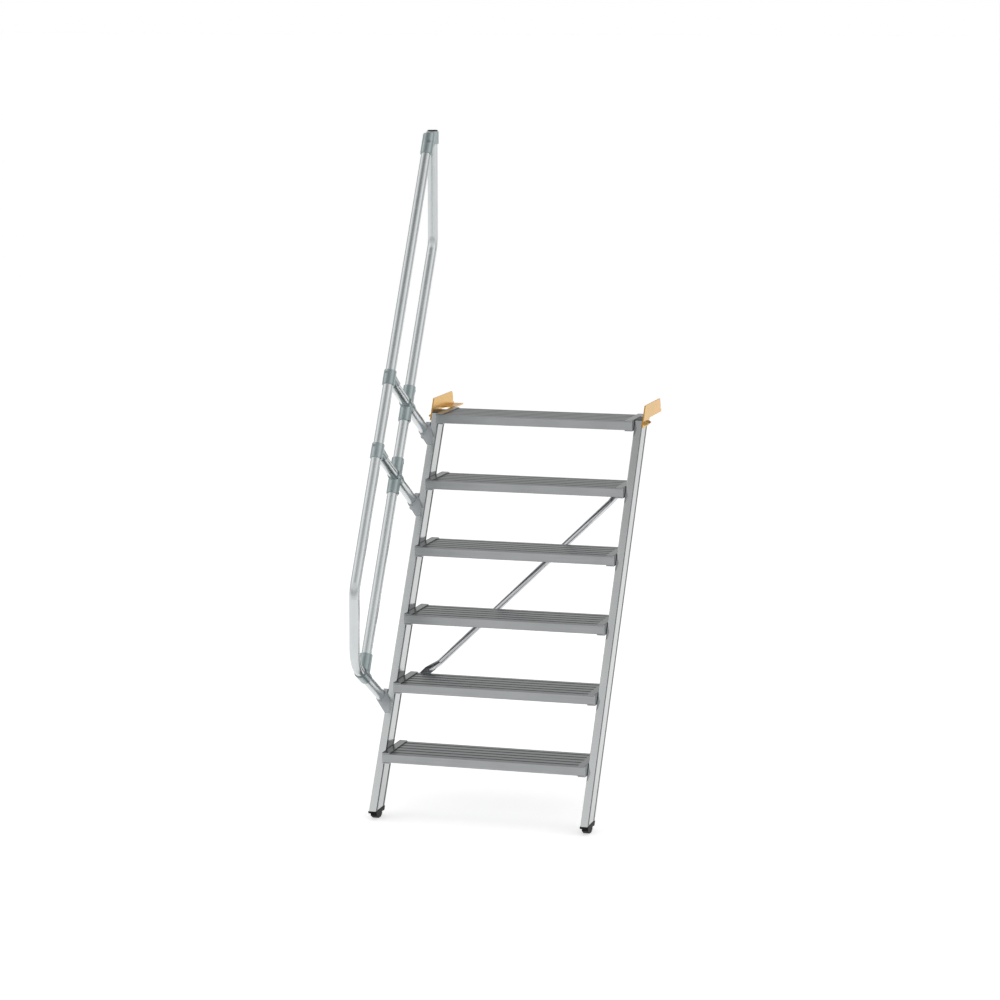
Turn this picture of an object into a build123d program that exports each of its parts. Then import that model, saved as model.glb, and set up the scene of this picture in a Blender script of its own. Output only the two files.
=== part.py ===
from build123d import *
from math import radians, sin, cos, tan, hypot
import os

# Industrial stair, hooked onto a platform edge, with a tubular handrail on one side.
# All sizes are in millimetres. X runs across the stair, Y climbs away from the user, Z is up.
# The origin is the middle of the seat under the left hook, on the platform's surface, so the
# platform and the top tread are both level with Z = 0 and the floor is below.

# Walking line
pitch_angle = 60.0
tread_count = 6
tread_rise = 243.0
clear_width = 800.0

# Treads: ribbed hollow extrusions in a console at each end
tread_depth = 225.0
tread_height = 34.0
tread_wall = 2.5
tread_web_count = 3
rib_count = 9
rib_width = 9.0
rib_height = 2.0
nosing_radius = 2.0
console_length = 30.0
console_wall = 4.0

# Stringers: hollow extrusions with a shallow recess along both sides
stringer_width = 30.0
stringer_depth = 88.0
stringer_wall = 3.0
stringer_corner = 3.0
recess_depth = 1.2
recess_bead = 12.0
stringer_lead = 47.0

# Feet and top plugs
foot_height = 34.0
foot_flange_front = 8.0
foot_flange_back = 16.0
foot_lip = 1.5
foot_inset = 2.5
foot_sole = 24.0
toe_setback = 14.0
toe_height = 14.0
heel_setback = 22.0
heel_height = 8.0
plug_height = 3.0
plug_edge = 1.0
spigot_length = 35.0
spigot_clearance = 0.3

# Hooks on the platform
hook_plate = 5.0
hook_height = 55.0
hook_reach = 122.0
hook_end_slant = 22.0
hook_leg_drop = 28.0
hook_elbow_radius = 25.0
hook_corner = 3.0
hook_gap = 4.0
seat_width = 45.0
seat_bend = 6.0
bolt_nut = 13.0
bolt_nut_height = 8.0
bolt_shank = 8.0
bolt_end_length = 5.5
bolt_spacing = 46.0
bolt_drop = 14.0

# Rails: bent tubes in one upright plane outside the left stringer
tube_diameter = 40.0
tube_wall = 2.5
rail_standoff = 28.0
handrail_distance = 535.0
knee_rail_distance = 282.0
rail_bend_radius = 110.0
foot_bend_gap = 13.0
post_setback = 68.5
post_below_crossing = 62.6
handrail_end_drop = 30.0
upper_support_drop = 90.0
lower_support_drop = 394.0
foot_support_drop = 1205.0

# Rail fittings
fitting_wall = 4.0
fitting_clearance = 0.3
tee_sleeve = 58.0
tee_branch = 88.0
tee_heel = 38.0
cross_sleeve = 146.0
cross_branch = 40.0
cross_mouth = 26.0
foot_tee_sleeve = 70.0
foot_tee_branch = 82.0
top_sleeve = 50.0
top_branch = 66.0
top_hood = 18.0
top_web_drop = 3.0
top_web_reach = 40.0
tube_end_gap = 2.0
gusset_thickness = 26.0
web_shoulder = 15.0
web_foot = 21.5
cap_height = 5.0

# Rail brackets on the stringer
bracket_back = 20.0
bracket_socket = 20.0
bracket_side = 17.0
bracket_tail = 70.0
bracket_seat = 3.0
bracket_lip = 4.0
bracket_lip_reach = 18.0
bracket_lip_drop = 38.0
bracket_lip_radius = 82.0

# Diagonal brace behind the treads
brace_diameter = 25.0
brace_wall = 2.0
brace_clearance = 1.5
brace_low_tread = 2
brace_high_tread = 5
brace_end_inset = 42.0
brace_tab_width = 32.0
brace_tab_thickness = 5.0
brace_tab_length = 40.0
brace_crank = 52.0

# Worked out from the sizes above
along_y = cos(radians(pitch_angle))
along_z = sin(radians(pitch_angle))
tread_run = tread_rise / tan(radians(pitch_angle))
stringer_run = stringer_depth / along_z
floor_z = -tread_count * tread_rise
seat_inner_x = clear_width / 2 - (seat_width - hook_plate - stringer_width)
seat_outer_x = clear_width / 2 + stringer_width + hook_plate
middle_x = (seat_inner_x + seat_outer_x - seat_bend) / 2
platform_edge_y = -hook_gap - (hook_reach - hook_gap) / 2
top_nose_y = platform_edge_y - tread_depth
centre_y = top_nose_y + stringer_lead + stringer_run / 2
climb = Vector(0, along_y, along_z)
outward = Vector(0, -along_z, along_y)
left_face_x = middle_x - clear_width / 2
right_face_x = middle_x + clear_width / 2
rail_x = left_face_x - stringer_width - rail_standoff
tube_radius = tube_diameter / 2
fitting_radius = tube_radius + fitting_clearance + fitting_wall

os.makedirs("parts", exist_ok=True)


def save(part, name):
    part.label = name
    export_step(part, f"parts/{name}.step")


def nose(number):
    steps_down = tread_count - number
    return top_nose_y - steps_down * tread_run, -steps_down * tread_rise


def on_slope(x, along, out=0.0):
    """A point beside the stringers' centre line, measured up the slope and square out from it."""
    return Vector(x, centre_y, 0) + climb * along + outward * out


def along_at_height(z, out=0.0):
    return (z - out * outward.Z) / climb.Z


def slope_plane(x, along=0.0, out=0.0):
    """Sketch plane across a stringer: X across the stair, the normal up the slope."""
    return Plane(origin=on_slope(x, along, out), x_dir=(1, 0, 0), z_dir=climb)


def side_plane(x):
    """Upright sketch plane beside the stair: its X up the slope, its Y square out from the slope."""
    return Plane(origin=on_slope(x, 0), x_dir=climb, z_dir=(1, 0, 0))


def upright_plane(x):
    """Upright sketch plane with its X along the row's Y, and its Y along the row's Z."""
    return Plane(origin=(x, 0, 0), x_dir=(0, 1, 0), z_dir=(1, 0, 0))


# Stringers
stringer_top_z = 0.0
stringer_foot_z = floor_z + foot_height
stringer_low = along_at_height(floor_z) - stringer_depth
stringer_high = along_at_height(stringer_top_z) + stringer_depth
recess_width = stringer_depth - 2 * recess_bead
sides = {
    "left": (left_face_x - stringer_width / 2, 1),
    "right": (right_face_x + stringer_width / 2, -1),
}
for side, (stringer_x, inward) in sides.items():
    with BuildPart() as stringer:
        with BuildSketch(slope_plane(stringer_x, stringer_low)):
            RectangleRounded(stringer_width, stringer_depth, stringer_corner)
            with Locations((stringer_width / 2, 0), (-stringer_width / 2, 0)):
                Rectangle(2 * recess_depth, recess_width, mode=Mode.SUBTRACT)
            Rectangle(
                stringer_width - 2 * (stringer_wall + recess_depth),
                stringer_depth - 2 * stringer_wall,
                mode=Mode.SUBTRACT,
            )
        extrude(amount=stringer_high - stringer_low)
        split(bisect_by=Plane.XY.offset(stringer_foot_z), keep=Keep.TOP)
        split(bisect_by=Plane.XY.offset(stringer_top_z), keep=Keep.BOTTOM)
    save(stringer.part, f"stringer_{side}")

# Feet and plugs close the cut ends. Each has a spigot that follows the slope into the hollow.
# Under its flange a foot has a narrower pad, raised at toe and heel.
spigot_width = stringer_width - 2 * (stringer_wall + recess_depth + spigot_clearance)
spigot_run = stringer_run - 2 * (stringer_wall + spigot_clearance) / along_z
for side, (stringer_x, inward) in sides.items():
    foot_y = on_slope(stringer_x, along_at_height(stringer_foot_z)).Y
    foot_front = foot_y - stringer_run / 2
    foot_back = foot_y + stringer_run / 2
    flange_outline = [
        (foot_front - foot_lip, stringer_foot_z),
        (foot_back + foot_lip, stringer_foot_z),
        (foot_back + foot_lip - foot_flange_back / tan(radians(pitch_angle)), stringer_foot_z - foot_flange_back),
        (foot_front - foot_lip, stringer_foot_z - foot_flange_front),
    ]
    pad_outline = [
        (foot_front + toe_setback, stringer_foot_z),
        (foot_front + toe_setback, floor_z + toe_height),
        (foot_y - foot_sole / 2, floor_z),
        (foot_y + foot_sole / 2, floor_z),
        (foot_back - heel_setback, floor_z + heel_height),
        (foot_back - heel_setback, stringer_foot_z),
    ]
    flange_width = stringer_width + 2 * foot_lip
    pad_width = stringer_width - 2 * foot_inset
    with BuildPart() as foot:
        for outline, width in ((flange_outline, flange_width), (pad_outline, pad_width)):
            with BuildSketch(upright_plane(stringer_x)):
                with BuildLine():
                    Polyline(*outline, close=True)
                make_face()
            extrude(amount=width / 2, both=True)
        with BuildSketch(Plane.XY.offset(stringer_foot_z)):
            with Locations((stringer_x, foot_y)):
                Rectangle(spigot_width, spigot_run)
        extrude(amount=spigot_length, dir=climb)
    save(foot.part, f"foot_{side}")

    plug_y = on_slope(stringer_x, along_at_height(stringer_top_z)).Y
    with BuildPart() as plug:
        with BuildSketch(Plane.XY.offset(stringer_top_z)):
            with Locations((stringer_x, plug_y)):
                Rectangle(stringer_width, stringer_run)
        extrude(amount=plug_height)
        chamfer(plug.edges().group_by(Axis.Z)[-1], plug_edge)
        with BuildSketch(Plane.XY.offset(stringer_top_z)):
            with Locations((stringer_x, plug_y)):
                Rectangle(spigot_width, spigot_run)
        extrude(amount=-spigot_length, dir=climb)
    save(plug.part, f"stringer_plug_{side}")

# Treads: one hollow ribbed section, cut to the length between the consoles' end walls
rib_pitch = tread_depth / rib_count
tread_length = clear_width - 2 * console_wall
cell_width = (tread_depth - (tread_web_count + 2) * tread_wall) / (tread_web_count + 1)
cell_height = tread_height - rib_height - 2 * tread_wall
for number in range(1, tread_count + 1):
    nose_y, top_z = nose(number)
    with BuildPart() as tread:
        with BuildSketch(upright_plane(middle_x - tread_length / 2)) as section:
            with Locations((nose_y + tread_depth / 2, top_z - tread_height / 2)):
                Rectangle(tread_depth, tread_height)
            fillet(section.vertices(), nosing_radius)
            for rib in range(rib_count - 1):
                with Locations((nose_y + (rib + 1) * rib_pitch, top_z)):
                    Rectangle(rib_pitch - rib_width, 2 * rib_height, mode=Mode.SUBTRACT)
            for cell in range(tread_web_count + 1):
                cell_y = nose_y + tread_wall + cell_width / 2 + cell * (cell_width + tread_wall)
                with Locations((cell_y, top_z - rib_height - tread_wall - cell_height / 2)):
                    Rectangle(cell_width, cell_height, mode=Mode.SUBTRACT)
        extrude(amount=tread_length)
    save(tread.part, f"tread_{number}")

    for side, (stringer_x, inward) in sides.items():
        face_x = stringer_x + inward * stringer_width / 2
        console_x = face_x + inward * console_length / 2
        pocket_x = face_x + inward * (console_wall + console_length) / 2
        middle = (console_x, nose_y + tread_depth / 2, top_z - tread_height / 2)
        pocket = (pocket_x, middle[1], middle[2])
        with BuildPart() as console:
            with Locations(middle):
                Box(console_length, tread_depth, tread_height + 2 * console_wall)
            with Locations(pocket):
                Box(console_length - console_wall, tread_depth, tread_height, mode=Mode.SUBTRACT)
            fillet(console.edges().filter_by(Axis.X).group_by(Axis.Z)[-1], nosing_radius)
        save(console.part, f"tread_console_{side}_{number}")

# Hooks: a leg bolted to the stringer's outer side, an arm over the platform and a turned-in seat
leg_front_y = centre_y - stringer_run / 2
leg_back_y = leg_front_y + stringer_run
for side, (stringer_x, inward) in sides.items():
    outer_face_x = stringer_x - inward * stringer_width / 2
    plate_outer_x = outer_face_x - inward * hook_plate
    leg_low_y = -hook_leg_drop / tan(radians(pitch_angle))
    arm_top_y = hook_height / tan(radians(pitch_angle))
    arm_end_y = platform_edge_y + hook_reach
    with BuildPart() as hook:
        with BuildSketch(upright_plane(min(outer_face_x, plate_outer_x))) as outline:
            with BuildLine():
                Polyline(
                    (leg_front_y + leg_low_y, -hook_leg_drop),
                    (leg_front_y + arm_top_y, hook_height),
                    (arm_end_y - hook_end_slant, hook_height),
                    (arm_end_y, 0),
                    (leg_back_y, 0),
                    (leg_back_y + leg_low_y, -hook_leg_drop),
                    close=True,
                )
            make_face()
            elbow = outline.vertices().sort_by_distance((0, leg_back_y, 0))[0]
            fillet(elbow, hook_elbow_radius)
        extrude(amount=hook_plate)
        fillet(
            hook.edges().filter_by(Axis.X).group_by(Axis.Z)[-1]
            + hook.edges().filter_by(Axis.X).group_by(Axis.Z)[0],
            hook_corner,
        )
        with BuildSketch(Plane.XZ.offset(-(platform_edge_y + hook_gap))):
            with BuildLine():
                Polyline(
                    (plate_outer_x, hook_plate + seat_bend),
                    (plate_outer_x, 0),
                    (plate_outer_x + inward * seat_width, 0),
                    (plate_outer_x + inward * seat_width, hook_plate),
                    (plate_outer_x + inward * hook_plate, hook_plate),
                    (plate_outer_x + inward * hook_plate, hook_plate + seat_bend),
                    close=True,
                )
            make_face()
        extrude(amount=-(hook_reach - hook_gap))
    save(hook.part, f"hook_{side}")

    bolt_z = -bolt_drop
    bolt_y = on_slope(stringer_x, along_at_height(bolt_z)).Y
    bolt_plane = Plane(origin=(plate_outer_x, bolt_y, bolt_z), x_dir=(0, 1, 0), z_dir=(-inward, 0, 0))
    with BuildPart() as bolts:
        with BuildSketch(bolt_plane):
            with GridLocations(bolt_spacing, 1, 2, 1):
                RegularPolygon(bolt_nut / 2, 6, major_radius=False)
        extrude(amount=bolt_nut_height)
        with BuildSketch(bolt_plane.offset(bolt_nut_height)):
            with GridLocations(bolt_spacing, 1, 2, 1):
                Circle(bolt_shank / 2)
        extrude(amount=bolt_end_length)
    save(bolts.part, f"hook_bolts_{side}")

# Rails. Local lengths in the side plane: first up the slope, then square out from it.
rail_side = side_plane(rail_x)


def to_side(y, z):
    """The side plane's own coordinates of a point given in the row's Y and Z."""
    dy, dz = y - centre_y, z
    return dy * climb.Y + dz * climb.Z, dy * outward.Y + dz * outward.Z


def crossing_height(y, out):
    """The height where an upright tube at this Y crosses a rail at this distance out from the slope."""
    return (y - centre_y - out * outward.Y) / climb.Y * climb.Z + out * outward.Z


def upright_meets(y, out):
    return to_side(y, crossing_height(y, out))


post_y = platform_edge_y - post_setback
post_height = crossing_height(post_y, handrail_distance) - post_below_crossing
post_top = to_side(post_y, post_height)
stations = {"upper": -upper_support_drop, "lower": -lower_support_drop}
foot_station = -foot_support_drop

# The handrail's foot runs square out from the slope, past the foot tee, and turns up into the
# front upright. That turn is as large as the pitch.
foot_bend_reach = rail_bend_radius * tan(radians(pitch_angle) / 2)
front_out = knee_rail_distance + foot_tee_sleeve / 2 + foot_bend_gap + foot_bend_reach
foot_corner = (foot_station, front_out)
front_y = centre_y + foot_station * climb.Y + front_out * outward.Y
front_corner = upright_meets(front_y, handrail_distance)
handrail_end_station = along_at_height(post_height - handrail_end_drop, handrail_distance)
handrail_end = (handrail_end_station, handrail_distance)
knee_corner = upright_meets(post_y, knee_rail_distance)


def bent_tube(name, points, radius):
    """A tube that follows straight runs joined by tangent bends, in the rails' plane."""
    with BuildPart() as tube:
        with BuildLine(rail_side) as path:
            if len(points) > 2:
                FilletPolyline(*points, radius=radius)
            else:
                Line(*points)
        start = path.line
        with BuildSketch(Plane(origin=start @ 0, z_dir=start % 0)):
            Circle(tube_radius)
            Circle(tube_radius - tube_wall, mode=Mode.SUBTRACT)
        sweep()
    save(tube.part, name)


bent_tube("handrail", [(foot_station, 0), foot_corner, front_corner, handrail_end], rail_bend_radius)
knee_start = (foot_station + tube_radius + tube_end_gap, knee_rail_distance)
bent_tube("knee_rail", [knee_start, knee_corner, post_top], rail_bend_radius)
for level, station in stations.items():
    inner_end = knee_rail_distance - tube_radius - tube_end_gap
    outer_start = knee_rail_distance + tube_radius + tube_end_gap
    outer_end = handrail_distance - tube_radius - tube_end_gap
    bent_tube(f"rail_support_{level}_inner", [(station, 0), (station, inner_end)], rail_bend_radius)
    bent_tube(f"rail_support_{level}_outer", [(station, outer_start), (station, outer_end)], rail_bend_radius)


def run_plane(start, end):
    """Sketch plane at the start of a run in the side plane, its normal along the run."""
    a = rail_side.from_local_coords(Vector(*start, 0))
    b = rail_side.from_local_coords(Vector(*end, 0))
    return Plane(origin=a, z_dir=b - a)


def run_length(start, end):
    return hypot(end[0] - start[0], end[1] - start[1])


def fitting(name, sleeves, bores, web=(), slant=()):
    """A cast fitting: round sleeves with a web between them, cut slanted and bored for the tubes."""
    with BuildPart() as casting:
        for start, end in sleeves:
            with BuildSketch(run_plane(start, end)):
                Circle(fitting_radius)
            extrude(amount=run_length(start, end))
        if web:
            with BuildSketch(rail_side.offset(-gusset_thickness / 2)):
                with BuildLine():
                    Polyline(*web, close=True)
                make_face()
            extrude(amount=gusset_thickness)
        if slant:
            with BuildSketch(rail_side.offset(-fitting_radius)):
                with BuildLine():
                    Polyline(*slant, close=True)
                make_face()
            extrude(amount=2 * fitting_radius, mode=Mode.SUBTRACT)
        for start, end in bores:
            with BuildSketch(run_plane(start, end)):
                Circle(tube_radius + fitting_clearance)
            extrude(amount=run_length(start, end), mode=Mode.SUBTRACT)
    save(casting.part, name)


# Tees join a support to the handrail. A web fills the corner on their upper side, and the branch
# ends on a slant, long on the web's side and short at the heel.
socket_floor = tube_radius + tube_end_gap - fitting_clearance
for level, station in stations.items():
    outer = handrail_distance
    fitting(
        f"rail_tee_{level}",
        sleeves=[
            ((station - tee_sleeve / 2, outer), (station + tee_sleeve / 2, outer)),
            ((station, outer), (station, outer - tee_branch)),
        ],
        bores=[
            ((station - tee_sleeve, outer), (station + tee_sleeve, outer)),
            ((station, outer - socket_floor), (station, outer - 2 * tee_branch)),
        ],
        web=[
            (station, outer),
            (station + tee_sleeve / 2, outer),
            (station + tee_sleeve / 2, outer - web_shoulder),
            (station + web_foot, outer - tee_branch),
            (station, outer - tee_branch),
        ],
        slant=[
            (station + fitting_radius, outer - tee_branch),
            (station - fitting_radius, outer - tee_heel),
            (station - fitting_radius, outer - tee_branch),
        ],
    )

# Crosses join both halves of a support to the knee rail.
for level, station in stations.items():
    outer = knee_rail_distance
    fitting(
        f"rail_cross_{level}",
        sleeves=[
            ((station - cross_sleeve / 2, outer), (station + cross_sleeve / 2, outer)),
            ((station, outer + cross_mouth), (station, outer - cross_branch)),
        ],
        bores=[
            ((station - cross_sleeve, outer), (station + cross_sleeve, outer)),
            ((station, outer + socket_floor), (station, outer + cross_sleeve)),
            ((station, outer - socket_floor), (station, outer - cross_sleeve)),
        ],
        web=[
            (station + cross_sleeve / 2, outer),
            (station + cross_sleeve / 2, outer - web_shoulder),
            (station + web_foot, outer - cross_branch),
            (station - web_foot, outer - cross_branch),
            (station - cross_sleeve / 2, outer - web_shoulder),
            (station - cross_sleeve / 2, outer),
        ],
    )

# The foot tee carries the knee rail's lower end on the handrail's foot.
foot_out = knee_rail_distance
fitting(
    "rail_tee_foot",
    sleeves=[
        ((foot_station, foot_out - foot_tee_sleeve / 2), (foot_station, foot_out + foot_tee_sleeve / 2)),
        ((foot_station, foot_out), (foot_station + foot_tee_branch, foot_out)),
    ],
    bores=[
        ((foot_station, foot_out - foot_tee_sleeve), (foot_station, foot_out + foot_tee_sleeve)),
        ((knee_start[0] - fitting_clearance, foot_out), (foot_station + 2 * foot_tee_branch, foot_out)),
    ],
)

# The top fitting holds the handrail's end beside the knee rail's upright end.
post_foot = to_side(post_y, post_height - top_sleeve)
post_low = to_side(post_y, post_height - 2 * top_sleeve)
post_high = to_side(post_y, post_height + top_sleeve)
socket_low = (handrail_end[0] - top_branch, handrail_distance)
socket_high = (handrail_end[0] + top_hood, handrail_distance)
fitting(
    "rail_top_fitting",
    sleeves=[(post_foot, post_top), (socket_low, socket_high)],
    bores=[
        (post_low, post_high),
        ((socket_low[0] - top_branch, handrail_distance), handrail_end),
    ],
    web=[
        socket_low,
        post_foot,
        to_side(post_y, post_height - top_web_drop),
        to_side(post_y - top_web_reach, post_height - top_web_drop),
        socket_high,
    ],
)

with BuildPart() as cap:
    with BuildSketch(Plane.XY.offset(post_height)):
        with Locations((rail_x, post_y)):
            Circle(tube_radius)
    extrude(amount=cap_height)
    chamfer(cap.edges().group_by(Axis.Z)[-1], plug_edge)
    with BuildSketch(Plane.XY.offset(post_height)):
        with Locations((rail_x, post_y)):
            Circle(tube_radius - tube_wall - spigot_clearance)
    extrude(amount=-spigot_length)
save(cap.part, "rail_cap")

# Brackets: a cast socket for the tube's end, a block beside the stringer and a lip on its front.
# Local lengths in the sketch planes: X from the tube's axis, Y up the slope.
side_x = rail_standoff - bracket_side
lip_x = rail_standoff + bracket_lip_reach
face_out = stringer_depth / 2
for name, station in {**stations, "foot": foot_station}.items():
    square = Plane(origin=on_slope(rail_x, station), x_dir=(1, 0, 0), z_dir=outward)
    with BuildPart() as bracket:
        with BuildSketch(square.offset(-bracket_back)):
            Circle(fitting_radius)
            with Locations((rail_standoff - bracket_seat / 2, (fitting_radius - bracket_tail) / 2)):
                Rectangle(bracket_seat, fitting_radius + bracket_tail)
            make_hull()
        extrude(amount=bracket_back + bracket_socket)
        with BuildSketch(square.offset(bracket_socket)):
            with BuildLine():
                Polyline(
                    (side_x, fitting_radius),
                    (rail_standoff, fitting_radius),
                    (rail_standoff, -bracket_tail),
                    (side_x, -bracket_lip_drop),
                    close=True,
                )
            make_face()
        extrude(amount=face_out + bracket_lip - bracket_socket)
        with BuildSketch(square.offset(face_out)):
            with BuildLine():
                RadiusArc((side_x, fitting_radius), (lip_x, -bracket_lip_drop), bracket_lip_radius)
                Polyline(
                    (lip_x, -bracket_lip_drop),
                    (lip_x, -bracket_tail),
                    (rail_standoff, -bracket_tail),
                    (side_x, -bracket_lip_drop),
                    (side_x, fitting_radius),
                )
            make_face()
        extrude(amount=bracket_lip)
        with BuildSketch(square):
            Circle(tube_radius + fitting_clearance)
        extrude(amount=stringer_depth, mode=Mode.SUBTRACT)
    save(bracket.part, f"rail_bracket_{name}")

# Diagonal brace: a round tube behind the treads, flattened and cranked onto two tread backs.
low_y, low_z = nose(brace_low_tread)
high_y, high_z = nose(brace_high_tread)
brace_radius = brace_diameter / 2
brace_end_x = clear_width / 2 - brace_end_inset
tab_y_low = low_y + tread_depth + brace_tab_thickness / 2
tab_y_high = high_y + tread_depth + brace_tab_thickness / 2
low_end = Vector(middle_x - brace_end_x, tab_y_low, low_z - tread_height / 2)
high_end = Vector(middle_x + brace_end_x, tab_y_high, high_z - tread_height / 2)
brace_run = (high_end - low_end).normalized()
tab_run = Vector(brace_run.X, 0, brace_run.Z).normalized()
rear_step = tread_height / 2 / tan(radians(pitch_angle)) - brace_tab_thickness / 2
brace_out = rear_step * along_z + brace_radius + brace_clearance
brace_offset = outward * -brace_out
bend_reach = brace_run * (brace_tab_length + brace_crank)
low_bend = low_end + bend_reach + brace_offset
high_bend = high_end - bend_reach + brace_offset
across_tube = outward.cross(brace_run)
across_tab = Vector(0, -1, 0).cross(tab_run)
with BuildPart() as brace:
    with BuildSketch(Plane(origin=low_bend, x_dir=across_tube, z_dir=brace_run)):
        Circle(brace_radius)
        Circle(brace_radius - brace_wall, mode=Mode.SUBTRACT)
    extrude(amount=(high_bend - low_bend).length)
    for bend, end, along in ((low_bend, low_end, -1), (high_bend, high_end, 1)):
        tab_start = end - tab_run * along * brace_tab_length
        tab_plane = Plane(origin=tab_start, x_dir=across_tab, z_dir=tab_run * along)
        with BuildSketch(tab_plane):
            Rectangle(brace_tab_width, brace_tab_thickness)
        with BuildSketch(Plane(origin=bend, x_dir=across_tube, z_dir=brace_run * along)):
            Circle(brace_radius)
        loft()
        with BuildSketch(tab_plane):
            Rectangle(brace_tab_width, brace_tab_thickness)
        extrude(amount=brace_tab_length)
        with BuildSketch(Plane(origin=end + Vector(0, brace_tab_thickness / 2, 0), z_dir=(0, -1, 0))):
            Circle(brace_tab_width / 2)
        extrude(amount=brace_tab_thickness)
save(brace.part, "diagonal_brace")
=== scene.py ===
import bmesh
import bpy
from math import cos, pi, radians, sin
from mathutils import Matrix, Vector


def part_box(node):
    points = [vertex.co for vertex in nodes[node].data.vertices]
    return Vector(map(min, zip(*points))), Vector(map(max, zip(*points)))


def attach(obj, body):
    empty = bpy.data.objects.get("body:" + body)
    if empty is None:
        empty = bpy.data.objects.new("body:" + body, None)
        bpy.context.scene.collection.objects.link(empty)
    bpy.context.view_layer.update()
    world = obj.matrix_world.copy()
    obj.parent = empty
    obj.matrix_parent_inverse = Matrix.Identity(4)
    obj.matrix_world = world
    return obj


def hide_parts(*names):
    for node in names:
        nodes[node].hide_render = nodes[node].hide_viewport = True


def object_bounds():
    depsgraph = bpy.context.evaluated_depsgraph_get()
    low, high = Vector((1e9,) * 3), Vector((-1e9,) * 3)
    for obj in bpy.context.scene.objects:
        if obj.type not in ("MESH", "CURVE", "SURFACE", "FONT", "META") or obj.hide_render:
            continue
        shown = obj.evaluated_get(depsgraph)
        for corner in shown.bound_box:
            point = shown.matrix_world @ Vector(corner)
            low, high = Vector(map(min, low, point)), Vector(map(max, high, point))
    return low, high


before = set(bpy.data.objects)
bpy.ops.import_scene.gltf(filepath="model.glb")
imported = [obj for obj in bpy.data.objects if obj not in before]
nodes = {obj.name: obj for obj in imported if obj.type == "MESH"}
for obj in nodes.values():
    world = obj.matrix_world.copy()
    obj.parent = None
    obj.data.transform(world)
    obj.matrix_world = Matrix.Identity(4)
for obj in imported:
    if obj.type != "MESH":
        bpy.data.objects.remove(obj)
cadLow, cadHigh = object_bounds()
print("frame loaded:", len(nodes), "nodes")

pitch = radians(60)  # the stringers' slope
slopeY = -0.1902  # where the line of the stringers crosses the platform's level

# Node helpers


def newMaterial(name):
    mat = bpy.data.materials.new(name)
    mat.use_nodes = True
    tree = mat.node_tree
    return mat, tree, tree.nodes["Principled BSDF"]


def addNode(tree, kind, **settings):
    node = tree.nodes.new(kind)
    for key, value in settings.items():
        setattr(node, key, value)
    return node


# Links an output to a socket, or sets the socket's own value
def feed(tree, socket, value):
    if hasattr(value, "is_output"):
        tree.links.new(value, socket)
    else:
        socket.default_value = value


def addMath(tree, operation, first, second=None, clamp=False):
    node = addNode(tree, "ShaderNodeMath", operation=operation, use_clamp=clamp)
    feed(tree, node.inputs[0], first)
    if second is not None:
        feed(tree, node.inputs[1], second)
    return node.outputs[0]


# Two values added by their shares
def addShares(tree, first, firstShare, second, secondShare):
    return addMath(tree, "ADD", addMath(tree, "MULTIPLY", first, firstShare),
                   addMath(tree, "MULTIPLY", second, secondShare))


# Runs from 0 at the start to 1 at the end, and stays level beyond them
def addFade(tree, value, start, end):
    node = addNode(tree, "ShaderNodeMapRange", clamp=True)
    feed(tree, node.inputs["Value"], value)
    feed(tree, node.inputs["From Min"], start)
    feed(tree, node.inputs["From Max"], end)
    return node.outputs["Result"]


def addBlend(tree, factor, first, second):
    node = addNode(tree, "ShaderNodeMix", data_type="RGBA")
    feed(tree, node.inputs["Factor"], factor)
    feed(tree, node.inputs[6], first)  # 6 and 7 are the node's two colours
    feed(tree, node.inputs[7], second)
    return node.outputs[2]


def addNoise(tree, vector, scale, detail=2.0):
    node = addNode(tree, "ShaderNodeTexNoise")
    feed(tree, node.inputs["Vector"], vector)
    feed(tree, node.inputs["Scale"], scale)
    feed(tree, node.inputs["Detail"], detail)
    return node.outputs["Fac"]


# Stops are (position, colour) pairs in rising order
def addRamp(tree, value, stops):
    node = addNode(tree, "ShaderNodeValToRGB")
    elements = node.color_ramp.elements
    for position, colour in stops[2:]:
        elements.new(position)
    for element, (position, colour) in zip(elements, stops):
        element.position = position
        element.color = (*colour, 1)
    feed(tree, node.inputs["Fac"], value)
    return node.outputs["Color"]


def splitVector(tree, vector):
    node = addNode(tree, "ShaderNodeSeparateXYZ")
    feed(tree, node.inputs[0], vector)
    return node.outputs["X"], node.outputs["Y"], node.outputs["Z"]


# Shader effects shared by several materials

finishOutputs = {"Color": "NodeSocketColor", "Roughness": "NodeSocketFloat", "Normal": "NodeSocketVector"}


# A group's inputs are numbers, vectors or colours, by how many numbers the first value holds
def newGroup(name, inputs, outputs):
    group = bpy.data.node_groups.new(name, "ShaderNodeTree")
    kinds = {3: "NodeSocketVector", 4: "NodeSocketColor"}
    for label, value in inputs.items():
        kind = kinds[len(value)] if isinstance(value, tuple) else "NodeSocketFloat"
        socket = group.interface.new_socket(name=label, in_out="INPUT", socket_type=kind)
        socket.default_value = value
    for label, kind in outputs.items():
        group.interface.new_socket(name=label, in_out="OUTPUT", socket_type=kind)
    given = addNode(group, "NodeGroupInput")
    result = addNode(group, "NodeGroupOutput")
    return group, given.outputs, result.inputs


def useGroup(tree, group, **values):
    node = addNode(tree, "ShaderNodeGroup", node_tree=group)
    for key, value in values.items():
        feed(tree, node.inputs[key], value)
    return node.outputs


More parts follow.
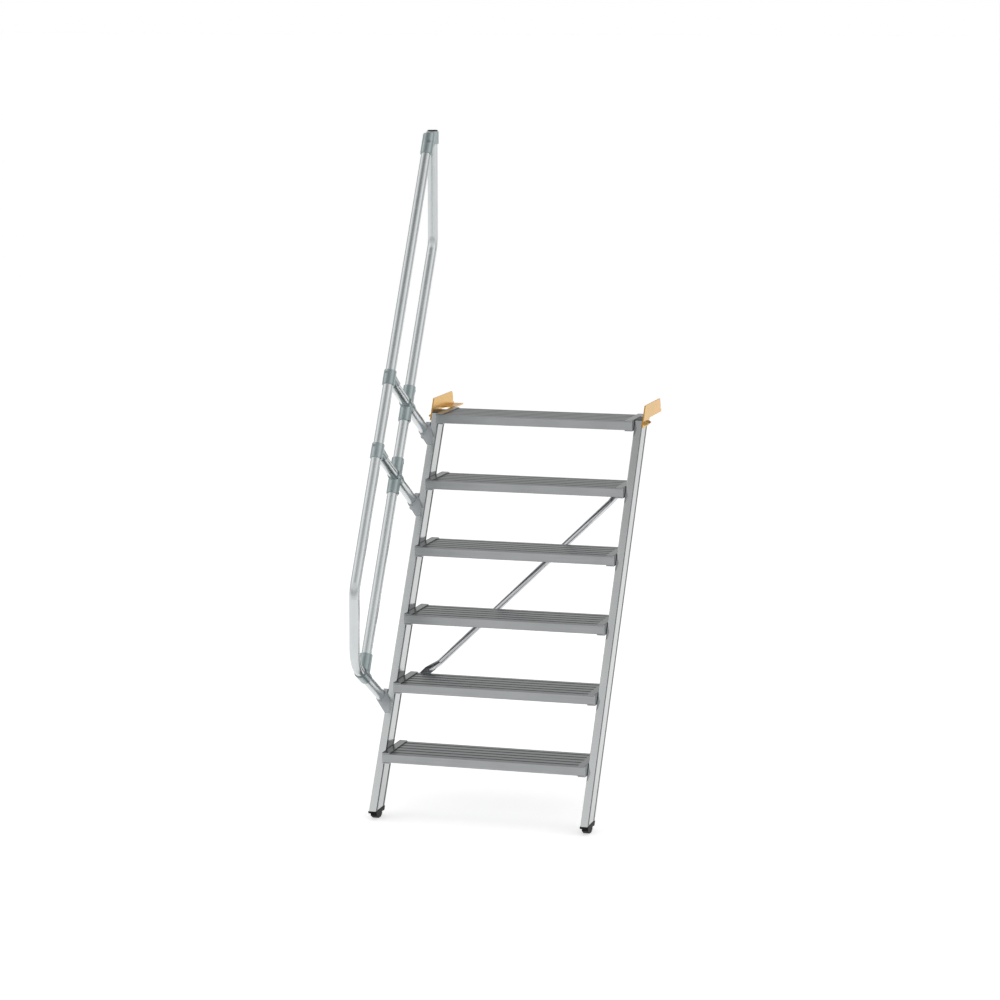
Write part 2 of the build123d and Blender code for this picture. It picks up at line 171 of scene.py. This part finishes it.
# Colour from a pattern, roughness that swings with it, and relief from its fine part
def putFinish(group, given, result, settings, pattern, swinging, spread, fine):
    tone = addFade(group, pattern, settings["darkest"], settings["lightest"])
    feed(group, result["Color"], addBlend(group, tone, given["Dark"], given["Light"]))
    swing = addMath(group, "MULTIPLY", addMath(group, "SUBTRACT", swinging, 0.5), spread)
    feed(group, result["Roughness"], addMath(group, "ADD", given["Rough"], swing, clamp=True))
    relief = addNode(group, "ShaderNodeBump")
    feed(group, relief.inputs["Distance"], settings["relief"])
    feed(group, relief.inputs["Height"], fine)
    feed(group, relief.inputs["Strength"], given["Bump"])
    feed(group, result["Normal"], relief.outputs["Normal"])


# Drawn or extruded metal: fine lines along one direction, and soft cloudy variation

drawnSet = {"streakScale": 1.0, "streakDetail": 4.0, "streakShare": 0.6,
            "cloudScale": 9.0, "cloudDetail": 3.0, "cloudShare": 0.4,
            "darkest": 0.35, "lightest": 0.65, "relief": 0.0004}


def makeDrawnMetal(settings):
    group, given, result = newGroup("drawnMetal", {
        "Light": (0.8, 0.8, 0.8, 1), "Dark": (0.6, 0.6, 0.6, 1),
        "Stretch": (400.0, 400.0, 4.0), "Turn": (0.0, 0.0, 0.0),
        "Rough": 0.3, "Spread": 0.1, "Bump": 0.05,
    }, finishOutputs)
    place = addNode(group, "ShaderNodeTexCoord").outputs["Object"]
    turned = addNode(group, "ShaderNodeVectorRotate", rotation_type="EULER_XYZ")
    feed(group, turned.inputs["Vector"], place)
    feed(group, turned.inputs["Rotation"], given["Turn"])
    stretched = addNode(group, "ShaderNodeVectorMath", operation="MULTIPLY")
    feed(group, stretched.inputs[0], turned.outputs[0])
    feed(group, stretched.inputs[1], given["Stretch"])
    streaks = addNoise(group, stretched.outputs[0], settings["streakScale"], settings["streakDetail"])
    clouds = addNoise(group, place, settings["cloudScale"], settings["cloudDetail"])
    both = addShares(group, streaks, settings["streakShare"], clouds, settings["cloudShare"])
    putFinish(group, given, result, settings, both, both, given["Spread"], streaks)
    return group


# Cast metal and moulded rubber: a fine pebbled skin with darker pits

castSet = {"grainDetail": 6.0, "grainShare": 0.45, "stainScale": 14.0, "stainDetail": 3.0, "stainShare": 0.55,
           "darkest": 0.36, "lightest": 0.64, "spread": 0.25, "relief": 0.0006}


def makeCastGrain(settings):
    group, given, result = newGroup("castGrain", {
        "Light": (0.6, 0.6, 0.6, 1), "Dark": (0.4, 0.4, 0.4, 1),
        "Scale": 400.0, "Rough": 0.5, "Bump": 0.2,
    }, finishOutputs)
    place = addNode(group, "ShaderNodeTexCoord").outputs["Object"]
    grain = addNoise(group, place, given["Scale"], settings["grainDetail"])
    stain = addNoise(group, place, settings["stainScale"], settings["stainDetail"])
    both = addShares(group, grain, settings["grainShare"], stain, settings["stainShare"])
    putFinish(group, given, result, settings, both, grain, settings["spread"], grain)
    return group


# Painted shade on the top of a tread or console: darker than its front, and darker still in grooves and along
# seams, where shade falls.
# The numbers are the upward normal that counts as a top, and shares of a groove's depth and a seam's half.

topShadeSet = {"upward": 0.9, "grooveFrom": 0.6, "grooveTo": 1.6, "seamCore": 0.5}


def makeTopShade(settings):
    group, given, result = newGroup("paintedTopShade", {
        "Rise": 0.243, "Deep": 0.002, "LeftSeam": 0.04, "RightSeam": 0.78, "Half": 0.004,
        "TopTone": 0.4, "DepthTone": 0.6,
    }, {"Mask": "NodeSocketFloat"})
    place = addNode(group, "ShaderNodeTexCoord").outputs
    x, _, z = splitVector(group, place["Object"])
    facing = splitVector(group, place["Normal"])
    upward = addMath(group, "GREATER_THAN", facing[2], settings["upward"])
    halfRise = addMath(group, "MULTIPLY", given["Rise"], 0.5)
    below = addMath(group, "PINGPONG", z, halfRise)  # distance to the nearest tread's top
    shallow = addMath(group, "MULTIPLY", given["Deep"], settings["grooveFrom"])
    deepest = addMath(group, "MULTIPLY", given["Deep"], settings["grooveTo"])
    groove = addMath(group, "MULTIPLY", addFade(group, below, shallow, given["Deep"]), upward)
    groove = addMath(group, "MULTIPLY", groove, addMath(group, "LESS_THAN", below, deepest))
    mask = addMath(group, "MAXIMUM", addMath(group, "MULTIPLY", groove, given["DepthTone"]),
                   addMath(group, "MULTIPLY", upward, given["TopTone"]))
    core = addMath(group, "MULTIPLY", given["Half"], settings["seamCore"])
    # Painted shade lines along the seams where parts meet
    for seam in ("LeftSeam", "RightSeam"):
        gap = addMath(group, "ABSOLUTE", addMath(group, "SUBTRACT", x, given[seam]))
        line = addMath(group, "MULTIPLY", addFade(group, gap, given["Half"], core), upward)
        mask = addMath(group, "MAXIMUM", mask, line)
    feed(group, result["Mask"], mask)
    return group


drawnMetal = makeDrawnMetal(drawnSet)
castGrain = makeCastGrain(castSet)
paintedTopShade = makeTopShade(topShadeSet)
print("shader groups made")


def linkFinish(tree, finish, shader):
    for output, socket in (("Color", "Base Color"), ("Roughness", "Roughness"), ("Normal", "Normal")):
        tree.links.new(finish[output], shader.inputs[socket])


def metalMaterial(name, style):
    mat, tree, shader = newMaterial(name)
    finish = useGroup(tree, drawnMetal, Light=(*style["light"], 1), Dark=(*style["dark"], 1),
                      Stretch=style["stretch"], Turn=style.get("turn", (0, 0, 0)),
                      Rough=style["rough"], Spread=style["spread"], Bump=style["bump"])
    shader.inputs["Metallic"].default_value = style.get("metallic", 1.0)
    linkFinish(tree, finish, shader)
    return mat


def grainMaterial(name, style):
    mat, tree, shader = newMaterial(name)
    finish = useGroup(tree, castGrain, Light=(*style["light"], 1), Dark=(*style["dark"], 1),
                      Scale=style["scale"], Rough=style["rough"], Bump=style["bump"])
    shader.inputs["Metallic"].default_value = style["metallic"]
    shader.inputs["Specular IOR Level"].default_value = style.get("specular", 0.5)
    linkFinish(tree, finish, shader)
    return mat


# Lays a colour over the material's own, as far as the mask says
def layOver(mat, mask, colour):
    tree = mat.node_tree
    base = tree.nodes["Principled BSDF"].inputs["Base Color"]
    feed(tree, base, addBlend(tree, mask, base.links[0].from_socket, colour))


# Stringers: drawn metal with painted shade over the side faces, and a darker painted shade line along both
# edges of the side recess

alongSlope = (-(pi / 2 - pitch), 0.0, 0.0)  # turns the slope's direction onto Z
stringerStyle = {"light": (0.64, 0.66, 0.66), "dark": (0.57, 0.585, 0.59), "stretch": (500, 500, 3),
                 "turn": alongSlope, "rough": 0.15, "spread": 0.10, "bump": 0.08,
                 "lines": (0.0375, -0.0335), "half": 0.0080, "core": 0.0062,
                 "sideFrom": 0.5, "sideShade": 0.22, "shade": (0.07, 0.075, 0.078)}


def makeStringerMetal(style):
    mat = metalMaterial("stringerMetal", style)
    tree = mat.node_tree
    place = addNode(tree, "ShaderNodeTexCoord").outputs
    _, y, z = splitVector(tree, place["Object"])
    shifted = addMath(tree, "SUBTRACT", y, slopeY)
    out = addMath(tree, "SUBTRACT", addMath(tree, "MULTIPLY", z, cos(pitch)),
                  addMath(tree, "MULTIPLY", shifted, sin(pitch)))
    facing = splitVector(tree, place["Normal"])
    sideways = addMath(tree, "GREATER_THAN", addMath(tree, "ABSOLUTE", facing[0]), style["sideFrom"])
    # Painted shade: a flat share over the side faces, and a full share in the lines along the recess edges
    mask = style["sideShade"]
    for centre in style["lines"]:
        gap = addMath(tree, "ABSOLUTE", addMath(tree, "SUBTRACT", out, centre))
        mask = addMath(tree, "MAXIMUM", addFade(tree, gap, style["half"], style["core"]), mask)
    layOver(mat, addMath(tree, "MULTIPLY", mask, sideways), (*style["shade"], 1))
    return mat


stringerMetal = makeStringerMetal(stringerStyle)

# Treads and consoles: the same painted top shade with other tones and seams

treadStyle = {"light": (0.36, 0.37, 0.375), "dark": (0.30, 0.31, 0.315), "stretch": (3, 500, 500),
              "rough": 0.30, "spread": 0.14, "bump": 0.12, "rise": 0.243, "deep": 0.002,
              "seams": (0.0405, 0.7785), "half": 0.0040, "topTone": 0.42, "depthTone": 0.60,
              "shade": (0.05, 0.053, 0.055)}

consoleStyle = {"light": (0.35, 0.36, 0.365), "dark": (0.29, 0.30, 0.305), "stretch": (300, 6, 300),
                "rough": 0.22, "spread": 0.10, "bump": 0.08, "rise": 0.243, "deep": 0.002,
                "seams": (0.0095, 0.8095), "half": 0.0060, "topTone": 0.30, "depthTone": 0.5,
                "shade": (0.03, 0.032, 0.034)}


def makeTreadMetal(name, style):
    mat = metalMaterial(name, style)
    leftSeam, rightSeam = style["seams"]
    topShade = useGroup(mat.node_tree, paintedTopShade, Rise=style["rise"], Deep=style["deep"],
                    LeftSeam=leftSeam, RightSeam=rightSeam, Half=style["half"],
                    TopTone=style["topTone"], DepthTone=style["depthTone"])
    # Lays the painted shade of tops, grooves and seams over the metal
    layOver(mat, topShade["Mask"], (*style["shade"], 1))
    return mat


treadMetal = makeTreadMetal("treadMetal", treadStyle)
consoleMetal = makeTreadMetal("consoleMetal", consoleStyle)

# Tubes and brace

tubeStyle = {"light": (0.64, 0.665, 0.67), "dark": (0.56, 0.59, 0.595), "stretch": (400, 400, 4),
             "turn": alongSlope, "rough": 0.26, "spread": 0.10, "bump": 0.06}
tubeMetal = metalMaterial("tubeMetal", tubeStyle)

braceStyle = {"light": (0.66, 0.67, 0.68), "dark": (0.56, 0.57, 0.59), "stretch": (40, 400, 400),
              "rough": 0.15, "spread": 0.10, "bump": 0.06}
braceMetal = metalMaterial("braceMetal", braceStyle)

# Castings, plugs, feet, bolts and screws

castStyle = {"light": (0.40, 0.455, 0.46), "dark": (0.315, 0.37, 0.375), "scale": 700.0, "rough": 0.30,
             "bump": 0.18, "metallic": 0.9}
castMetal = grainMaterial("castMetal", castStyle)

bracketStyle = {"light": (0.56, 0.58, 0.60), "dark": (0.47, 0.49, 0.51), "scale": 650.0, "rough": 0.36,
                "bump": 0.18, "metallic": 0.9}
bracketMetal = grainMaterial("bracketMetal", bracketStyle)

plugStyle = {"light": (0.016, 0.016, 0.017), "dark": (0.008, 0.008, 0.009), "scale": 900.0, "rough": 0.45,
             "bump": 0.15, "metallic": 0.0, "specular": 0.3}
blackPlastic = grainMaterial("blackPlastic", plugStyle)

rubberStyle = {"light": (0.007, 0.007, 0.008), "dark": (0.003, 0.003, 0.003), "scale": 600.0, "rough": 0.55,
               "bump": 0.25, "metallic": 0.0, "specular": 0.18}
blackRubber = grainMaterial("blackRubber", rubberStyle)

boltStyle = {"light": (0.58, 0.42, 0.19), "dark": (0.38, 0.27, 0.13), "scale": 500.0, "rough": 0.30,
             "bump": 0.1, "metallic": 1.0}
boltMetal = grainMaterial("boltMetal", boltStyle)

screwStyle = {"light": (0.16, 0.17, 0.17), "dark": (0.07, 0.075, 0.075), "scale": 600.0, "rough": 0.38,
              "bump": 0.1, "metallic": 0.9}
screwMetal = grainMaterial("screwMetal", screwStyle)

# Hooks: yellow passivated zinc, gold with a faint drift between olive and rose, and a soft sheen

hookStyle = {"light": (0.84, 0.46, 0.085), "dark": (0.72, 0.39, 0.065), "stretch": (60, 60, 60),
             "rough": 0.24, "spread": 0.12, "bump": 0.05, "metallic": 0.85,
             "tints": ((0.38, (0.60, 0.48, 0.10)), (0.64, (0.88, 0.46, 0.16))),
             "driftScale": 22.0, "drift": 0.22}


def makePassivated(style):
    mat = metalMaterial("passivatedSteel", style)
    tree = mat.node_tree
    place = addNode(tree, "ShaderNodeTexCoord").outputs
    drift = addNoise(tree, place["Object"], style["driftScale"])
    layOver(mat, style["drift"], addRamp(tree, drift, style["tints"]))
    return mat


passivatedSteel = makePassivated(hookStyle)

# The first entry whose start fits a node's name gives its material, so longer starts stand first

finishes = [
    ("stringer_plug", blackPlastic), ("stringer", stringerMetal), ("foot", blackRubber),
    ("tread_console", consoleMetal), ("tread", treadMetal),
    ("hook_bolts", boltMetal), ("hook", passivatedSteel),
    ("rail_tee", castMetal), ("rail_cross", castMetal), ("rail_top_fitting", castMetal),
    ("rail_bracket", bracketMetal), ("rail_cap", blackPlastic), ("rail_support", tubeMetal),
    ("handrail", tubeMetal), ("knee_rail", tubeMetal), ("diagonal_brace", braceMetal),
]


def finishFor(name):
    return next(material for start, material in finishes if name.startswith(start))


for name, piece in nodes.items():
    piece.data.materials.clear()
    piece.data.materials.append(finishFor(name))
print("materials on", len(nodes), "nodes")

# Mesh helpers for the scene's own pieces


def addObject(name, data):
    thing = bpy.data.objects.new(name, data)
    bpy.context.scene.collection.objects.link(thing)
    return thing


def addPiece(name, mesh, material):
    piece = addObject(name, mesh)
    mesh.materials.append(material)
    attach(piece, "root")
    return piece


# Turns (radius, height) points about an axis, with a radius of 0 to close an end
def latheMesh(bm, profile, base, axis, sides=32, smooth=True):
    turn = Vector((0, 0, 1)).rotation_difference(axis).to_matrix()
    rings = []
    for radius, height in profile:
        if radius == 0:
            rings.append([bm.verts.new(base + turn @ Vector((0, 0, height)))])
            continue
        ring = []
        for k in range(sides):
            angle = 2 * pi * k / sides
            point = Vector((radius * cos(angle), radius * sin(angle), height))
            ring.append(bm.verts.new(base + turn @ point))
        rings.append(ring)
    for lower, upper in zip(rings, rings[1:]):
        for k in range(sides):
            n = (k + 1) % sides
            if len(lower) == 1:
                face = bm.faces.new((lower[0], upper[n], upper[k]))
            elif len(upper) == 1:
                face = bm.faces.new((lower[k], lower[n], upper[0]))
            else:
                face = bm.faces.new((lower[k], lower[n], upper[n], upper[k]))
            face.smooth = smooth


# A round disc, or a six-sided nut, from one height to another
def addDisc(bm, radius, start, end, base, axis):
    latheMesh(bm, [(0, start), (radius, start), (radius, end), (0, end)], base, axis)


def addNut(bm, radius, start, end, base, axis):
    latheMesh(bm, [(0, start), (radius, start), (radius, end), (0, end)], base, axis, sides=6, smooth=False)


edgeSet = {"sharpFrom": radians(40), "segments": 2}


def finishMesh(bm, name, bevel=0.0):
    bmesh.ops.recalc_face_normals(bm, faces=bm.faces)
    if bevel:
        limit = edgeSet["sharpFrom"]
        sharp = [edge for edge in bm.edges if edge.is_manifold and edge.calc_face_angle() > limit]
        bmesh.ops.bevel(bm, geom=sharp, offset=bevel, segments=edgeSet["segments"], affect="EDGES",
                        clamp_overlap=True)
    mesh = bpy.data.meshes.new(name)
    bm.to_mesh(mesh)
    bm.free()
    return mesh


# Treads: the profile with its five grooves, run through between the consoles' end walls

treadSet = {"count": 6, "corner": 0.002, "grooves": 5, "groove": 0.011, "depth": 0.002,
            "first": 0.0320, "spacing": 0.0405}


# A quarter circle that turns clockwise from a starting angle in degrees
def cornerPoints(y, z, radius, start, steps=4):
    turns = [radians(start - 90 * k / steps) for k in range(steps + 1)]
    return [(y + radius * cos(turn), z + radius * sin(turn)) for turn in turns]


def treadOutline(low, high):
    corner, groove, depth = treadSet["corner"], treadSet["groove"], treadSet["depth"]
    outline = cornerPoints(low.y + corner, high.z - corner, corner, 180)
    for k in range(treadSet["grooves"]):
        y = low.y + treadSet["first"] + k * treadSet["spacing"]
        outline += [(y - groove / 2, high.z), (y - groove / 2, high.z - depth)]
        outline += [(y + groove / 2, high.z - depth), (y + groove / 2, high.z)]
    outline += cornerPoints(high.y - corner, high.z - corner, corner, 90)
    outline += cornerPoints(high.y - corner, low.z + corner, corner, 0)
    outline += cornerPoints(low.y + corner, low.z + corner, corner, -90)
    return outline


def makeTreadPiece(number):
    low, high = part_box(f"tread_{number}")
    outline = treadOutline(low, high)
    bm = bmesh.new()
    ends = [[bm.verts.new((x, y, z)) for y, z in outline] for x in (low.x, high.x)]
    for k in range(len(outline)):
        n = (k + 1) % len(outline)
        bm.faces.new((ends[0][k], ends[0][n], ends[1][n], ends[1][k]))
    for end in ends:
        bm.faces.new(end)
    name = f"ribbedTread_{number}"
    piece = addPiece(name, finishMesh(bm, name), treadMetal)
    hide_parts(f"tread_{number}")


for number in range(1, treadSet["count"] + 1):
    makeTreadPiece(number)
print("treads made")

# Hook bolts: washer, nut with rounded corners, and the end of the bolt

boltSet = {"washerRadius": 0.0085, "washerHeight": 0.0016, "nutRadius": 0.0074, "nutHeight": 0.0064,
           "boltRadius": 0.0040, "boltHeight": 0.0055, "edge": 0.0004}
for side, outward in (("left", -1), ("right", 1)):
    low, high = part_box(f"hook_bolts_{side}")
    middle = (low + high) / 2
    reach = (high.y - low.y) / 2 - boltSet["nutRadius"]
    seat = high.x if outward < 0 else low.x
    axis = Vector((outward, 0, 0))
    washer = boltSet["washerHeight"]
    nut = washer + boltSet["nutHeight"]
    end = nut + boltSet["boltHeight"]
    bm = bmesh.new()
    for shift in (-reach, reach):
        base = Vector((seat, middle.y + shift, middle.z))
        addDisc(bm, boltSet["washerRadius"], 0, washer, base, axis)
        addNut(bm, boltSet["nutRadius"], washer, nut, base, axis)
        addDisc(bm, boltSet["boltRadius"], nut, end, base, axis)
    name = f"hookBolts_{side}"
    piece = addPiece(name, finishMesh(bm, name, bevel=boltSet["edge"]), boltMetal)
    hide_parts(f"hook_bolts_{side}")
print("hook bolts made")

# Rails: their upright plane, how far out from the slope they run, and the two supports' places up it

railX = -0.0485
railOut = {"knee": 0.282, "hand": 0.535}
stations = {"upper": -0.090, "lower": -0.394}


def onSide(x, along, out):
    return Vector((x, slopeY + along * cos(pitch) - out * sin(pitch), along * sin(pitch) + out * cos(pitch)))


upSlope = onSide(0, 1, 0) - onSide(0, 0, 0)
squareOut = onSide(0, 0, 1) - onSide(0, 0, 0)

# Set screws of the tube fittings, flush and with a round socket. Each place is a distance up the slope,
# from a support or for the top one from the platform's level, and degrees from +X towards square out.

screwSet = {"radius": 0.0048, "rise": 0.0006, "sink": 0.004, "socket": 0.0028, "depth": 0.0030,
            "chamfer": 0.0006, "sides": 24, "sleeveRadius": 0.0243, "topSize": 1.3,
            "low": (-0.068, -8), "high": (0.058, -15), "tee": (0.016, 110), "top": (0.9183, 64)}


def addSetScrew(name, along, out, angle, size=1.0):
    axis = Vector((cos(radians(angle)), 0, 0)) + squareOut * sin(radians(angle))
    point = onSide(railX, along, out) + axis * screwSet["sleeveRadius"]
    radius, hole = screwSet["radius"] * size, screwSet["socket"] * size
    top, sink, chamfer = screwSet["rise"], -screwSet["sink"], screwSet["chamfer"]
    floorAt = top - screwSet["depth"]
    body = [(0, sink), (radius, sink), (radius, top - chamfer), (radius - chamfer, top), (hole, top)]
    socket = [(hole, top), (hole, floorAt), (0, floorAt)]
    bm = bmesh.new()
    latheMesh(bm, body, point, axis, sides=screwSet["sides"])
    latheMesh(bm, socket, point, axis, sides=screwSet["sides"], smooth=False)
    addPiece(name, finishMesh(bm, name), screwMetal)


for level, station in stations.items():
    for place in ("low", "high"):
        shift, angle = screwSet[place]
        addSetScrew(f"crossScrew_{level}_{place}", station + shift, railOut["knee"], angle)
    shift, angle = screwSet["tee"]
    addSetScrew(f"teeScrew_{level}", station + shift, railOut["hand"], angle)
topAlong, topAngle = screwSet["top"]
addSetScrew("topScrew", topAlong, railOut["hand"], topAngle, size=screwSet["topSize"])
print("set screws made")

# Clamping bolts under the two upper brackets' sockets. The angle turns from +X towards up the slope.

clampSet = {"headRadius": 0.0066, "headHeight": 0.0052, "neckRadius": 0.0045, "neck": 0.0035,
            "out": -0.010, "start": 0.0205, "angle": 233, "edge": 0.0005}
clampTurn = radians(clampSet["angle"])
clampAxis = (Vector((cos(clampTurn), 0, 0)) + upSlope * sin(clampTurn)).normalized()
for level, station in stations.items():
    base = onSide(railX, station, clampSet["out"]) + clampAxis * clampSet["start"]
    neck = clampSet["neck"]
    head = neck + clampSet["headHeight"]
    bm = bmesh.new()
    addDisc(bm, clampSet["neckRadius"], 0, neck, base, clampAxis)
    addNut(bm, clampSet["headRadius"], neck, head, base, clampAxis)
    name = f"clampBolt_{level}"
    addPiece(name, finishMesh(bm, name, bevel=clampSet["edge"]), bracketMetal)
print("clamping bolts made")

# Camera at the photograph's place, worked out from the photograph's straight edges

cameraSet = {"place": (3.7096, -12.1725, 1.6064), "down": 8.9001, "turn": 16.1215,
             "focalPixels": 3167.7, "framePixels": 1000, "sensor": 36.0, "clipEnd": 1000.0}
cameraData = bpy.data.cameras.new("camera")
cameraData.sensor_width = cameraSet["sensor"]
cameraData.lens = cameraSet["focalPixels"] / cameraSet["framePixels"] * cameraSet["sensor"]
cameraData.clip_end = cameraSet["clipEnd"]
camera = addObject("camera", cameraData)
camera.location = cameraSet["place"]
camera.rotation_euler = (radians(90 - cameraSet["down"]), 0, radians(cameraSet["turn"]))
bpy.context.scene.camera = camera
print("camera placed")

# Pale floor that reaches to the horizon, white to the eye and in the metal, with the shadow kept

floorSet = {"size": 600.0, "tones": ((0.0, (0.80, 0.80, 0.80)), (1.0, (0.84, 0.84, 0.84))), "cloudScale": 0.8,
            "rough": 0.9, "specular": 0.1, "glow": 0.50}


def makePaleFloor(style):
    mat, tree, shader = newMaterial("paleFloor")
    place = addNode(tree, "ShaderNodeTexCoord").outputs
    cloud = addNoise(tree, place["Object"], style["cloudScale"])
    tree.links.new(addRamp(tree, cloud, style["tones"]), shader.inputs["Base Color"])
    shader.inputs["Roughness"].default_value = style["rough"]
    shader.inputs["Specular IOR Level"].default_value = style["specular"]
    ray = addNode(tree, "ShaderNodeLightPath").outputs
    mirrored = addMath(tree, "MAXIMUM", ray["Is Glossy Ray"], ray["Is Transmission Ray"])
    seen = addMath(tree, "MAXIMUM", ray["Is Camera Ray"], mirrored)
    tree.links.new(addMath(tree, "MULTIPLY", seen, style["glow"]), shader.inputs["Emission Strength"])
    return mat


bm = bmesh.new()
bmesh.ops.create_grid(bm, x_segments=1, y_segments=1, size=floorSet["size"] / 2)
floorMesh = bpy.data.meshes.new("floor")
bm.to_mesh(floorMesh)
bm.free()
floorMesh.materials.append(makePaleFloor(floorSet))
floor = addObject("floor", floorMesh)
floor.location = (0, 0, cadLow.z)
print("floor laid")

# Studio surround: each band is degrees up from the horizon and a grey

bands = ((0, 1.0), (8, 0.46), (15, 0.62), (24, 0.9), (40, 1.0),
         (46, 0.76), (50, 0.50), (55, 0.08), (61, 0.12), (90, 0.6))
world = bpy.data.worlds.new("studio")
bpy.context.scene.world = world
world.use_nodes = True
worldTree = world.node_tree
direction = addNode(worldTree, "ShaderNodeTexCoord").outputs["Generated"]
height = addFade(worldTree, splitVector(worldTree, direction)[2], -1.0, 1.0)
stops = [(sin(radians(angle)) / 2 + 0.5, (grey, grey, grey)) for angle, grey in bands]
worldTree.links.new(addRamp(worldTree, height, stops), worldTree.nodes["Background"].inputs["Color"])

# Soft square lamps: one to each side and one overhead

lampAim = Vector((0.4, -0.5, 0.0))
lampSet = {
    "leftLamp": {"place": (-7.0, -2.0, 3.0), "size": 6.0, "power": 30},
    "rightLamp": {"place": (8.0, -1.5, 3.5), "size": 6.0, "power": 30},
    "topLamp": {"place": (0.6, 1.5, 8.0), "size": 9.0, "power": 180},
}
for name, style in lampSet.items():
    data = bpy.data.lights.new(name, "AREA")
    data.shape = "RECTANGLE"
    data.size = style["size"]
    data.size_y = style["size"]
    data.energy = style["power"]
    lamp = addObject(name, data)
    lamp.location = style["place"]
    lamp.rotation_euler = (lampAim - Vector(style["place"])).to_track_quat("-Z", "Y").to_euler()
print("surround and lamps set")

bpy.context.scene.view_settings.view_transform = "Standard"
